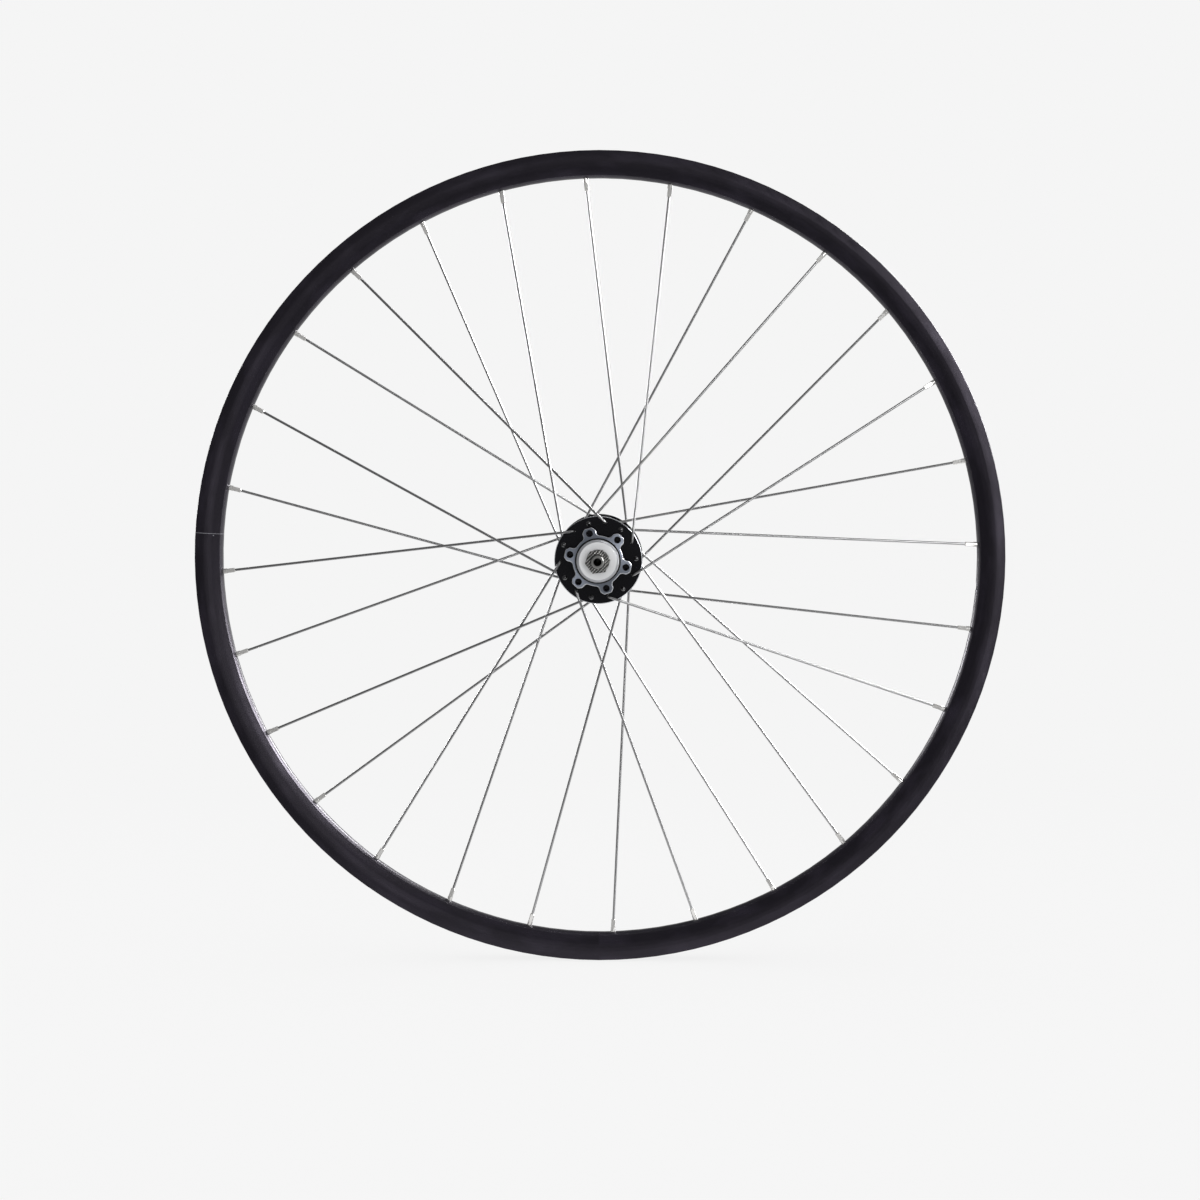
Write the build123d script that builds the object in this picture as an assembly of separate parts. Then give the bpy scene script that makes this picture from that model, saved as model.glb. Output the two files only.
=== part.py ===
from build123d import *

import os
from math import acos, cos, degrees, radians, sin, sqrt, tan

# A rear bicycle wheel for a disc brake, without its tyre: a black double-walled
# alloy rim, 28 spokes crossed twice, and a six-bolt disc hub with a hollow axle
# and a cassette freehub. Sizes are in millimetres. The axle lies along Y through
# the origin, the wheel's centre plane is y = 0, the disc side faces -Y and +Z is
# up. Angles run clockwise from the top, as seen from the disc side.

# Clearances
seat = 0.02  # between faces that are pressed or screwed together
slide = 0.05  # between a piece and the pocket it slides or swings in
race = 0.06  # between a ball and each of its races
gap = 0.4  # between a turning piece and a still one

# Modelling allowances
near = 0.001  # how close two places are to count as one
cut_past = 0.1  # how far a cutting shape stands out of what it cuts
drill_past = 4.0  # how far a drill runs past the middle of a wall

# Rim: the section
bead_seat_radius = 311.0
rim_flange_height = 6.0
rim_depth = 21.0
rim_width = 24.0
rim_flange_wall = 2.3
sidewall_height = 8.5
sidewall_bulge = 0.35
sidewall_bulge_drop = 0.6  # of the side wall's height
taper_bulge = 0.5
rim_side_wall = 1.4
rim_bridge_wall = 1.3
rim_bed_wall = 1.8
chamber_corner_share = 0.6  # of a wall, from its outer corner to the inner one
chamber_crease_drop = 0.3
chamber_crease_inset = 0.1
rim_bed_width = 12.8
rim_bed_crown = 2.2
rim_corner_round = 1.0
rim_crease_round = 10.0
bead_shelf_width = 3.0
bead_shelf_fall = 0.4
well_depth = 4.8
well_width = 9.0
rim_edge_round = 0.7

# Rim: holes and joint
nipple_hole_diameter = 4.5
access_hole_diameter = 8.5
valve_hole_diameter = 8.5
sleeve_length = 44.0
sleeve_wall = 1.4
sleeve_clearance = 0.15
joint_offset_angle = -0.7  # from midway between two nipples, as the photo shows it

# Spokes
spoke_count = 28
crossings = 2
first_spoke_angle = -2.06
spoke_diameter = 2.0
spoke_head_diameter = 3.7
spoke_head_height = 1.2
spoke_head_edge = 0.4
elbow_radius = 2.0
elbow_standoff = 1.4
flange_edge_bend_radius = 8.0
crossing_bend_radius = 25.0
crossing_clearance = 0.12
flange_edge_clearance = 0.2

# Nipples
nipple_length = 14.0
nipple_diameter = 4.0
nipple_flats = 3.3
nipple_flats_length = 6.5
nipple_head_diameter = 6.0
nipple_head_height = 2.4
nipple_slot_width = 1.2
nipple_slot_depth = 1.0
nipple_tail_chamfer = 0.5
nipple_head_chamfer = 0.3

# Hub shell
over_locknuts = 135.0
flange_diameter = 68.0
flange_thickness = 3.2
left_flange_offset = 34.5
right_flange_offset = 20.5
spoke_hole_margin = 4.7
spoke_hole_diameter = 2.6
spoke_hole_countersink = 0.35
flange_edge_round = 0.5
barrel_diameter = 28.0
barrel_bore_diameter = 21.0
shoulder_diameter = 39.0
shoulder_length = 9.0
shoulder_hollow = 0.8
shoulder_hollow_at = 0.35  # of the shoulder's length
shell_end_length = 1.7
shell_end_taper = 1.2
shell_end_chamfer = 0.5
web_cone_length = 3.0

# Disc mount
disc_face_inset = 15.3
disc_register_diameter = 34.9
disc_register_height = 2.5
disc_register_chamfer = 0.4
disc_bolt_circle = 44.0
disc_bolt_count = 6
disc_bolt_hole = 4.2
disc_bolt_hole_chamfer = 0.5
disc_mount_thickness = 8.0
disc_mount_diameter = 39.0
disc_mount_angle = -17.1
lug_tip_radius = 26.1
lug_shoulder_radius = 23.4
lug_tip_width = 5.8
lug_width = 10.4
lug_round = 1.5
lug_root_round = 3.0
lug_edge_chamfer = 0.45
neck_diameter = 36.0

# Axle, cones and locknuts; the thread under them is drawn at its mean diameter
axle_diameter = 10.0
axle_thread_diameter = 9.4
axle_waist_diameter = 8.8
axle_bore_diameter = 5.8
axle_stub = 5.5
axle_chamfer = 0.6
axle_thread_end = 6.0
locknut_flats = 17.0
locknut_thickness = 5.0
locknut_angle = 23.0
locknut_chamfer = 0.5
lock_washer_diameter = 15.6
lock_washer_thickness = 1.5
spacer_diameter = 15.0
cone_shoulder_diameter = 16.4
cone_nose_diameter = 12.8
cone_flats = 15.0
cone_flats_length = 4.0
cone_shoulder_length = 3.4
cone_nose_length = 2.0
cone_shoulder_slope = 0.5

# Main bearings
ball_diameter = 6.35
ball_count = 9
ball_circle_diameter = 19.5
race_wrap_angle = 60.0
left_ball_inset = 21.3
right_ball_inset = 10.5
cup_diameter = 28.4
cup_floor = 1.6
cup_mouth_share = 0.6  # of a ball's radius
dust_cap_diameter = 32.8
dust_cap_face_diameter = 29.2
dust_cap_hole_diameter = 17.4
dust_cap_sheet = 0.8
dust_cap_depth = 3.0
dust_cap_crown = 0.9
dust_cap_lip_width = 1.2
dust_cap_lip_drop = 0.7
dust_cap_corner_share = 0.4  # of the sheet, from the outer corner to the inner one

# Freehub
cassette_length = 35.0
freehub_end_inset = 5.6
spline_diameter = 34.6
spline_depth = 1.3
spline_groove_angle = 14.0
spline_narrow_groove_angle = 8.0
spline_count = 9
freehub_shoulder_diameter = 37.2
freehub_shoulder_length = 2.0
lockring_bore_diameter = 29.8
lockring_bore_length = 10.0
lockring_bore_chamfer = 0.6
row_ball_diameter = 3.175
row_ball_count = 25
row_circle_diameter = 26.0
row_bore_diameter = 27.7
row_land_diameter = 24.2
row_land_length = 4.2
core_waist_diameter = 22.4
core_bore_diameter = 19.0
core_floor = 4.0
core_boss_diameter = 23.6
core_boss_length = 4.6
core_cup_diameter = 28.8
core_flange_diameter = 29.2
core_flange_length = 0.8
core_cup_step = 0.4
core_mouth_inset = 0.3
fixing_bolt_diameter = 15.0
fixing_bolt_length = 16.0
fixing_bolt_head_diameter = 18.4
fixing_bolt_head_length = 4.5
fixing_bolt_hex = 11.0
seal_length = 1.2
seal_lip = 0.15
seal_inset = 0.1
seal_room = 0.6

# Ratchet and pawls
ratchet_teeth = 24
ratchet_tip_diameter = 25.5
ratchet_root_diameter = 27.8
ratchet_length = 8.0
ratchet_room = 0.3
ratchet_tip_angle = 0.6
ratchet_cut_depth = 0.5
tooth_lead_share = 0.9
pawl_count = 3
pawl_pivot_radius = 10.9
pawl_pivot_diameter = 2.2
pawl_reach = 6.0
pawl_tip_thickness = 0.9
pawl_length = 6.4
pawl_swing = 9.0
pawl_spring_sheet = 0.2
pawl_spring_width = 4.0
pawl_floor_slope = 0.1
pawl_tip_rake = 0.4
pawl_belly_share = 0.6  # of the heel's radius
pocket_heel_inset = 0.4
pocket_tip_room = 0.6
spring_foot = 1.6
spring_tip_inset = 1.0

# Stations along the axle, worked out from the sizes above
locknut_face = over_locknuts / 2
disc_face = locknut_face - disc_face_inset
left_ball_station = locknut_face - left_ball_inset
right_ball_station = locknut_face - right_ball_inset
freehub_end = locknut_face - freehub_end_inset
freehub_start = freehub_end - cassette_length - freehub_shoulder_length
shell_end = right_flange_offset + flange_thickness / 2 + shell_end_length
ball_radius = ball_diameter / 2
ball_circle = ball_circle_diameter / 2
race_radius = ball_radius + race
axle_seat = axle_thread_diameter / 2 + seat

# Spoke layout
spoke_pitch = 360 / spoke_count
lacing_angle = crossings * 2 * spoke_pitch
spoke_radius = spoke_diameter / 2
spoke_circle = flange_diameter / 2 - spoke_hole_margin
rim_radius = bead_seat_radius + rim_flange_height
bed_radius = rim_radius - rim_depth
bed_middle = bed_radius + rim_bed_wall / 2
seam_angle = first_spoke_angle + 21.5 * spoke_pitch + joint_offset_angle
valve_angle = first_spoke_angle + 7.5 * spoke_pitch


def outward(angle):
    """The direction from the axle at a clock angle."""
    return Vector(sin(radians(angle)), 0, cos(radians(angle)))


def turned(*outline):
    """A solid turned about the axle from (radius, station) points."""
    return revolve(make_face(Polyline(*outline, close=True)), Axis.Y)


def turned_edges(*edges):
    """A solid turned about the axle from lines and arcs that close."""
    return revolve(make_face(Curve() + list(edges)), Axis.Y)


def mirrored(shape):
    """The same shape on the other side of the wheel's centre plane."""
    return mirror(shape, about=Plane.XZ)


def around(shape, count, first=0.0):
    """Copies of a shape, evenly spaced about the axle."""
    return [Rot(0, first + n * 360 / count, 0) * shape for n in range(count)]


def disc(diameter, start, end):
    """A plain cylinder about the axle between two stations."""
    return turned((0, start), (diameter / 2, start), (diameter / 2, end), (0, end))


def prism(sketch, start, end):
    """A flat outline, drawn with up as +Z, carried along the axle."""
    plane = Plane(origin=(0, start, 0), x_dir=(1, 0, 0), z_dir=(0, -1, 0))
    return extrude(plane * sketch, -(end - start))


def hexagon(flats, angle):
    """A hexagon across its flats, with a corner at a clock angle."""
    return RegularPolygon(flats / 2, 6, major_radius=False, rotation=90 - angle)


# Rim


def rim_outer_wire():
    """The rim's outside: flanges, bead shelves, well, side walls and spoke bed."""
    half = rim_width / 2
    crease = rim_radius - sidewall_height
    bed_edge = bed_radius + rim_bed_crown
    bed_half = rim_bed_width / 2
    well = bead_seat_radius - well_depth
    inside = half - rim_flange_wall
    shelf_end = inside - bead_shelf_width
    top = rim_radius
    lean = sidewall_bulge

    def side(s):
        flange = [
            Line((well, s * well_width / 2), (bead_seat_radius - bead_shelf_fall, s * shelf_end)),
            Line((bead_seat_radius - bead_shelf_fall, s * shelf_end), (bead_seat_radius, s * inside)),
            Line((bead_seat_radius, s * inside), (top - rim_edge_round, s * inside)),
            ThreePointArc(
                (top - rim_edge_round, s * inside),
                (top, s * (inside + half - lean) / 2),
                (top - rim_edge_round, s * (half - lean)),
            ),
        ]
        wall = ThreePointArc(
            (top - rim_edge_round, s * (half - lean)),
            (top - sidewall_height * sidewall_bulge_drop, s * half),
            (crease, s * (half - lean / 2)),
        )
        run = Vector(bed_edge - crease, bed_half - half + lean / 2)
        bulge = Vector(run.Y, -run.X).normalized() * taper_bulge
        middle = Vector(crease, half - lean / 2) + run / 2 + bulge
        taper = ThreePointArc(
            (crease, s * (half - lean / 2)),
            (middle.X, s * middle.Y),
            (bed_edge, s * bed_half),
        )
        return [*flange, wall, taper]

    well_floor = Line((well, -well_width / 2), (well, well_width / 2))
    bed = ThreePointArc((bed_edge, bed_half), (bed_radius, 0), (bed_edge, -bed_half))
    return [well_floor, *side(1), bed, *side(-1)]


def rim_chamber_wire():
    """The hollow between the bridge, the side walls and the spoke bed."""
    half = rim_width / 2
    well_under = bead_seat_radius - well_depth - rim_bridge_wall
    shelf_under = bead_seat_radius - bead_shelf_fall - rim_bridge_wall
    crease = rim_radius - sidewall_height
    shelf_half = half - rim_side_wall - sidewall_bulge
    inner_shelf = half - rim_flange_wall - bead_shelf_width + rim_bridge_wall * chamber_corner_share
    bed_top = bed_radius + rim_bed_wall
    bed_edge = bed_radius + rim_bed_crown + rim_bed_wall
    bed_half = rim_bed_width / 2 - rim_side_wall * chamber_corner_share
    top = [
        (well_under, well_width / 2 - rim_bridge_wall / 2),
        (shelf_under, inner_shelf),
        (shelf_under, shelf_half),
        (crease - chamber_crease_drop, shelf_half - chamber_crease_inset),
        (bed_edge, bed_half),
    ]
    lower = [(r, -y) for r, y in reversed(top)]
    bed = ThreePointArc(top[-1], (bed_top, 0), lower[0])
    return [Polyline(*top), bed, Polyline(*lower), Line(lower[-1], top[0])]


def at_radius(shape, radius):
    """The corners of a section, drawn out from the axle along X, that lie at a radius."""
    return [v for v in shape.vertices() if abs(v.X - radius) < near]


def make_rim(layout):
    section = make_face(Curve() + rim_outer_wire())
    section = fillet(at_radius(section, bed_radius + rim_bed_crown), rim_corner_round)
    section = fillet(at_radius(section, rim_radius - sidewall_height), rim_crease_round)
    hoop = revolve(section - make_face(Curve() + rim_chamber_wire()), Axis.Y)
    drill = Cylinder(nipple_hole_diameter / 2, 2 * drill_past)
    access = Cylinder(access_hole_diameter / 2, 2 * drill_past)
    bridge = bead_seat_radius - well_depth / 2
    holes = []
    for spoke in layout:
        holes.append(Plane(origin=spoke.rim_point, z_dir=spoke.pull) * drill)
        up = outward(spoke.rim_angle)
        holes.append(Plane(origin=up * bridge, z_dir=up) * access)
    up = outward(valve_angle)
    valve = Cylinder(valve_hole_diameter / 2, rim_depth + 2 * drill_past)
    holes.append(Plane(origin=up * (bed_radius + rim_depth / 2), z_dir=up) * valve)
    return hoop - holes


def make_rim_joint_sleeve():
    """The alloy sleeve inside the rim that holds its two ends in line."""
    chamber = make_face(Curve() + rim_chamber_wire())
    outer = offset(chamber, -sleeve_clearance)
    inner = offset(chamber, -sleeve_clearance - sleeve_wall)
    arc = degrees(sleeve_length / bed_middle)
    # The section is drawn on +X, which is 90 degrees clockwise from the top.
    sleeve = revolve(outer - inner, Axis.Y, arc)
    return Rot(0, seam_angle - 90 - arc / 2, 0) * sleeve


# Spokes and nipples


class SpokeRun:
    """Where one spoke goes: its flange hole, bends, rim hole and pull."""

    def __init__(self, number):
        turn = number % 4
        self.side = 1 if turn in (0, 2) else -1
        self.lean = 1 if turn in (0, 1) else -1
        self.elbow_out = self.lean > 0
        offset_y = right_flange_offset if self.side > 0 else left_flange_offset
        self.rim_angle = first_spoke_angle + number * spoke_pitch
        self.hub_angle = self.rim_angle + self.lean * lacing_angle
        hub = outward(self.hub_angle) * spoke_circle
        rim = outward(self.rim_angle) * bed_middle
        flange = self.side * offset_y
        half = self.side * (flange_thickness / 2)
        standoff = self.side * (flange_thickness / 2 + elbow_standoff)
        way = 1 if self.elbow_out else -1
        run_y = flange + way * standoff
        self.head_seat = hub + Vector(0, flange - way * half, 0)
        self.head_way = Vector(0, -way * self.side, 0)
        self.corner = hub + Vector(0, run_y, 0)
        self.rim_point = rim

        across = outward(self.rim_angle + self.lean * spoke_pitch + 90)
        share = -hub.dot(across) / (rim - hub).dot(across)
        cross_y = flange * (1 - share)
        weave = self.side * (spoke_radius + crossing_clearance / 2)
        crossing = hub + (rim - hub) * share
        self.crossing = Vector(crossing.X, cross_y - way * weave, crossing.Z)
        self.pull = (self.rim_point - self.crossing).normalized()

        along = (rim - hub).normalized()
        radial = hub.dot(along)
        reach = flange_diameter / 2 + spoke_radius + flange_edge_clearance
        clear = sqrt(radial**2 - spoke_circle**2 + reach**2) - radial
        self.edge = self.corner + along * clear

    def tilt(self):
        """How far the nipple leans from straight in, in radians."""
        return acos(min(1.0, self.pull.dot(outward(self.rim_angle))))

    def nipple_seat(self):
        """Distance past the rim point at which the nipple's head meets the bed."""
        hole = nipple_hole_diameter / 2
        crown = rim_bed_width**2 / (8 * rim_bed_crown)
        rise = rim_bed_wall / 2 + hole * tan(self.tilt()) + hole**2 / (2 * crown)
        cone = (nipple_hole_diameter - nipple_diameter) / 2
        return rise / cos(self.tilt()) + slide - cone

    def nipple_top(self):
        return self.nipple_seat() + nipple_head_height


def make_spoke(run):
    """A straight-gauge spoke: head, elbow, run woven at its last crossing, and end."""
    head_end = run.head_seat + run.head_way * (seat + spoke_head_height / 2)
    end = run.rim_point + run.pull * (run.nipple_top() - nipple_slot_depth - seat)
    points = [head_end, run.corner]
    radii = [elbow_radius]
    if run.elbow_out:
        points.append(run.edge)
        radii.append(flange_edge_bend_radius)
    points += [run.crossing, end]
    radii.append(crossing_bend_radius)
    path = FilletPolyline(*points, radius=radii)
    start = Plane(origin=head_end, z_dir=run.corner - head_end)
    wire = sweep(start * Circle(spoke_radius), path)
    low, high = seat, seat + spoke_head_height
    edge = (spoke_head_diameter / 2, low + spoke_head_edge)
    head = turned_edges(
        Polyline((0, high), (0, low), (edge[0], low), edge),
        TangentArc((0, high), edge, tangent=(1, 0)),
    )
    if run.head_way.Y < 0:
        head = mirrored(head)
    return Pos(*run.head_seat) * head + wire


def make_nipple(run):
    """A nipple on its spoke's line, with its head in the rim and its square below."""
    radius = nipple_diameter / 2
    head = nipple_head_diameter / 2
    tail = nipple_head_height - nipple_length
    square_top = tail + nipple_flats_length
    bore = spoke_radius + slide
    body = revolve(
        make_face(
            Polyline(
                (bore, tail),
                (radius - nipple_tail_chamfer, tail),
                (radius, tail + nipple_tail_chamfer),
                (radius, 0),
                (head, head - radius),
                (head, nipple_head_height - nipple_head_chamfer),
                (head - nipple_head_chamfer, nipple_head_height),
                (bore, nipple_head_height),
                close=True,
            )
        ),
        Axis.Y,
    )
    grip = Box(nipple_flats, nipple_flats_length, nipple_flats)
    sleeve = Cylinder(nipple_diameter, nipple_flats_length, rotation=(90, 0, 0))
    body -= Pos(0, square_top - nipple_flats_length / 2, 0) * (sleeve - grip)
    slot = Box(nipple_head_diameter * 2, nipple_slot_depth, nipple_slot_width)
    body -= Pos(0, nipple_head_height - nipple_slot_depth / 2, 0) * slot
    where = run.rim_point + run.pull * run.nipple_seat()
    # The square's flats stand parallel to the wheel's plane, as a key leaves them.
    return Plane(origin=where, x_dir=run.pull.cross(Vector(0, 1, 0)), z_dir=run.pull) * (
        Rot(90, 0, 0) * body
    )


# Hub shell


def lug_outline():
    """One disc lug, standing at the top."""
    lug = make_face(
        Polyline(
            (-lug_width / 2, 0),
            (-lug_width / 2, lug_shoulder_radius),
            (-lug_tip_width / 2, lug_tip_radius),
            (lug_tip_width / 2, lug_tip_radius),
            (lug_width / 2, lug_shoulder_radius),
            (lug_width / 2, 0),
            close=True,
        )
    )
    return fillet([v for v in lug.vertices() if v.Y > near], lug_round)


def make_disc_mount():
    """The six-lugged plate that the brake disc bolts to."""
    hoop = disc_mount_diameter / 2
    outline = Circle(hoop)
    for n in range(disc_bolt_count):
        outline += Rot(0, 0, -disc_mount_angle - n * 360 / disc_bolt_count) * lug_outline()
    roots = [v for v in outline.vertices() if abs(Vector(v.X, v.Y).length - hoop) < near]
    outline = fillet(roots, lug_root_round)
    plate = prism(outline, -disc_face, -disc_face + disc_mount_thickness)
    front = plate.faces().sort_by(Axis.Y)[0]
    plate = chamfer(front.outer_wire().edges(), lug_edge_chamfer)
    hole = disc_bolt_hole / 2
    depth = disc_mount_thickness + drill_past
    bolt = turned(
        (0, -cut_past),
        (hole + disc_bolt_hole_chamfer + cut_past, -cut_past),
        (hole, disc_bolt_hole_chamfer),
        (hole, depth),
        (0, depth),
    )
    at = Pos(0, -disc_face, disc_bolt_circle / 2) * bolt
    return plate - around(at, disc_bolt_count, disc_mount_angle)


def flange_disc(station):
    half = flange_thickness / 2
    edge = flange_diameter / 2
    e = flange_edge_round
    return turned(
        (0, station - half),
        (edge - e, station - half),
        (edge, station - half + e),
        (edge, station + half - e),
        (edge - e, station + half),
        (0, station + half),
    )


def flange_holes(station, angles):
    """The spoke holes of one flange, each countersunk on both faces."""
    half = flange_thickness / 2
    hole = spoke_hole_diameter / 2
    wide = hole + spoke_hole_countersink
    drill = turned(
        (0, -half - cut_past),
        (wide + cut_past, -half - cut_past),
        (hole, -half + spoke_hole_countersink),
        (hole, half - spoke_hole_countersink),
        (wide + cut_past, half + cut_past),
        (0, half + cut_past),
    )
    at = Pos(0, station, spoke_circle) * drill
    return [Rot(0, angle, 0) * at for angle in angles]


def make_hub_shell(layout):
    half = flange_thickness / 2
    left = -left_flange_offset + half
    right = right_flange_offset - half
    shoulder = shoulder_diameter / 2
    barrel = barrel_diameter / 2
    register = disc_register_diameter / 2
    left_end = -disc_face - disc_register_height
    in_mount = -disc_face + disc_mount_thickness / 2
    barrel_start = left + shoulder_length
    barrel_end = right - shoulder_length
    outside = turned_edges(
        Polyline(
            (0, left_end),
            (register - disc_register_chamfer, left_end),
            (register, left_end + disc_register_chamfer),
            (register, in_mount),
            (neck_diameter / 2, in_mount),
            (neck_diameter / 2, left - half),
            (shoulder, left - half),
            (shoulder, left),
        ),
        ThreePointArc(
            (shoulder, left),
            ((shoulder + barrel) / 2 - shoulder_hollow, left + shoulder_length * shoulder_hollow_at),
            (barrel, barrel_start),
        ),
        Line((barrel, barrel_start), (barrel, barrel_end)),
        ThreePointArc(
            (barrel, barrel_end),
            ((shoulder + barrel) / 2 - shoulder_hollow, right - shoulder_length * shoulder_hollow_at),
            (shoulder, right),
        ),
        Polyline(
            (shoulder, right),
            (shoulder, right + half),
            (shoulder - shell_end_taper, shell_end - shell_end_chamfer),
            (shoulder - shell_end_taper - shell_end_chamfer, shell_end),
            (0, shell_end),
            (0, left_end),
        ),
    )
    shell = outside + make_disc_mount()
    shell += flange_disc(-left_flange_offset)
    shell += flange_disc(right_flange_offset)

    cup_back = -left_ball_station + cup_depth()
    cap = dust_cap_diameter / 2 + seat
    cup = cup_diameter / 2 + seat
    bore = barrel_bore_diameter / 2
    boss = core_boss_diameter / 2 + seat
    web = core_boss_start() - fixing_bolt_grip()
    hollow = turned(
        (0, left_end - cut_past),
        (cap, left_end - cut_past),
        (cap, left_end + dust_cap_depth),
        (cup, left_end + dust_cap_depth),
        (cup, cup_back),
        (bore, cup_back),
        (bore, web - web_cone_length),
        (fixing_bolt_diameter / 2 + seat, web),
        (fixing_bolt_diameter / 2 + seat, core_boss_start()),
        (boss, core_boss_start()),
        (boss, shell_end + cut_past),
        (0, shell_end + cut_past),
    )
    shell -= hollow
    for side, station in ((-1, -left_flange_offset), (1, right_flange_offset)):
        angles = [run.hub_angle for run in layout if run.side == side]
        shell -= flange_holes(station, angles)
    return shell


# Bearings


def race_point(station, angle, way):
    """A point on a race about a ball's centre: 0 is outward, 90 along the way."""
    turn = radians(angle)
    return (
        ball_circle + race_radius * cos(turn),
        station + way * race_radius * sin(turn),
    )


def race_arc(station, start, end, way):
    middle = (start + end) / 2
    return ThreePointArc(
        race_point(station, start, way),
        race_point(station, middle, way),
        race_point(station, end, way),
    )


def cup_depth():
    """How far a cup reaches inboard of its balls' centres."""
    return race_radius * sin(radians(race_wrap_angle)) + cup_floor


def make_left_bearing_cup():
    """A pressed cup: its race lies outward and inboard of the balls."""
    station = -left_ball_station
    back = station + cup_depth()
    mouth = station - ball_radius * cup_mouth_share
    outer = cup_diameter / 2
    lip = race_point(station, 0, 1)[0]
    inner = race_point(station, race_wrap_angle, 1)
    return turned_edges(
        Line((lip, station), (lip, mouth)),
        Polyline((lip, mouth), (outer, mouth), (outer, back), (inner[0], back), inner),
        race_arc(station, race_wrap_angle, 0, 1),
    )


def make_balls(station, diameter, circle, count):
    ball = Pos(0, station, circle / 2) * Sphere(diameter / 2)
    return Compound(children=around(ball, count))


def make_cone(way, ball_station, end):
    """A cone: nose inboard, race, shoulder, and an outer end at a station."""
    nose = ball_station - way * cone_nose_length
    low = race_point(ball_station, 180, way)
    high = race_point(ball_station, 180 - race_wrap_angle, way)
    shoulder = cone_shoulder_diameter / 2
    nose_radius = cone_nose_diameter / 2
    return turned_edges(
        Polyline(
            high,
            (shoulder, high[1] + way * (shoulder - high[0]) * cone_shoulder_slope),
            (shoulder, end),
            (axle_seat, end),
            (axle_seat, nose),
            (nose_radius, nose),
            low,
        ),
        race_arc(ball_station, 180, 180 - race_wrap_angle, way),
    )


def left_cone_end():
    reach = race_radius * sin(radians(race_wrap_angle))
    return -left_ball_station - reach - cone_shoulder_length - cone_flats_length


def make_left_cone():
    """The disc side's cone, with two flats past its shoulder for a thin spanner."""
    end = left_cone_end()
    cone = make_cone(-1, -left_ball_station, end)
    wide = Box(cone_shoulder_diameter * 2, cone_flats_length, cone_shoulder_diameter * 2)
    tongue = Box(cone_shoulder_diameter * 2, cone_flats_length, cone_flats)
    return cone - Pos(0, end + cone_flats_length / 2, 0) * (wide - tongue)


def right_cone_end():
    """The drive side's cone ends at its washer, which the locknut holds."""
    return locknut_face - locknut_thickness - lock_washer_thickness


def ring(outer, start, end, inner=None):
    """A plain ring about the axle."""
    inside = axle_seat if inner is None else inner / 2
    return turned((inside, start), (outer / 2, start), (outer / 2, end), (inside, end))


def make_locknut(way):
    """A hexagonal locknut with its corners turned off at both ends."""
    outer = way * locknut_face
    inner = way * (locknut_face - locknut_thickness)
    low, high = min(outer, inner), max(outer, inner)
    corner = locknut_flats / sqrt(3)
    c = locknut_chamfer
    body = prism(hexagon(locknut_flats, locknut_angle), low, high)
    turned_off = turned(
        (axle_seat, low),
        (corner - 2 * c, low),
        (corner, low + c),
        (corner, high - c),
        (corner - 2 * c, high),
        (axle_seat, high),
    )
    return body & turned_off


def lock_washer_span(way):
    """The keyed washer's two stations: against the cone on the disc side."""
    if way < 0:
        return left_cone_end() - lock_washer_thickness, left_cone_end()
    return right_cone_end(), right_cone_end() + lock_washer_thickness


def make_axle():
    """A hollow axle: plain stubs for the dropouts, threaded lengths and a slim waist."""
    end = locknut_face + axle_stub
    stub = axle_diameter / 2
    thread = axle_thread_diameter / 2
    waist = axle_waist_diameter / 2
    bore = axle_bore_diameter / 2
    c = axle_chamfer
    left_nose = -left_ball_station + cone_nose_length + axle_thread_end
    right_nose = right_ball_station - cone_nose_length - axle_thread_end
    return turned(
        (bore + c / 2, -end),
        (stub - c, -end),
        (stub, -end + c),
        (stub, -locknut_face),
        (thread, -locknut_face),
        (thread, left_nose),
        (waist, left_nose + thread - waist),
        (waist, right_nose - thread + waist),
        (thread, right_nose),
        (thread, locknut_face),
        (stub, locknut_face),
        (stub, end - c),
        (stub - c, end),
        (bore + c / 2, end),
        (bore, end - c / 2),
        (bore, -end + c / 2),
    )


def make_left_dust_cap():
    """The pressed steel cap in the disc register, round the cone."""
    left_end = -disc_face - disc_register_height
    back = left_end + dust_cap_depth
    face = left_end - dust_cap_crown
    rim_r = dust_cap_diameter / 2
    face_r = dust_cap_face_diameter / 2
    hole = dust_cap_hole_diameter / 2
    t = dust_cap_sheet
    drop = dust_cap_lip_drop
    share = dust_cap_corner_share
    return turned(
        (rim_r - t, back),
        (rim_r, back),
        (rim_r, left_end),
        (face_r, face),
        (hole + dust_cap_lip_width, face),
        (hole, face + drop),
        (hole, face + drop + t),
        (hole + dust_cap_lip_width, face + t),
        (face_r - t * share, face + t),
        (rim_r - t, left_end + t * (1 - share)),
    )


def make_right_dust_seal():
    """The rubber ring in the mouth of the freehub's cup, round the cone."""
    start = right_ball_station + ball_radius + gap
    inside = cone_shoulder_diameter + 2 * gap
    return ring(2 * (ball_circle + race_radius - seat), start, freehub_end - core_mouth_inset, inside)


# Freehub


def core_boss_start():
    return shell_end - core_boss_length


def fixing_bolt_grip():
    """How much of the fixing bolt's shank lies in the shell."""
    return fixing_bolt_length - core_boss_length - core_floor


def row_stations():
    """Where the two rows of small balls run."""
    inboard = freehub_start + seal_length + row_land_length / 2 + seal_room
    outboard = freehub_end - lockring_bore_length - row_land_length / 2
    return inboard, outboard


def ratchet_start():
    return row_stations()[0] + row_land_length / 2 + ratchet_room


def groove(station):
    """The ring of space that a row's balls run in."""
    path = Pos(row_circle_diameter / 2, station) * Circle(row_ball_diameter / 2 + race)
    return revolve(path, Axis.Y)


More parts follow.
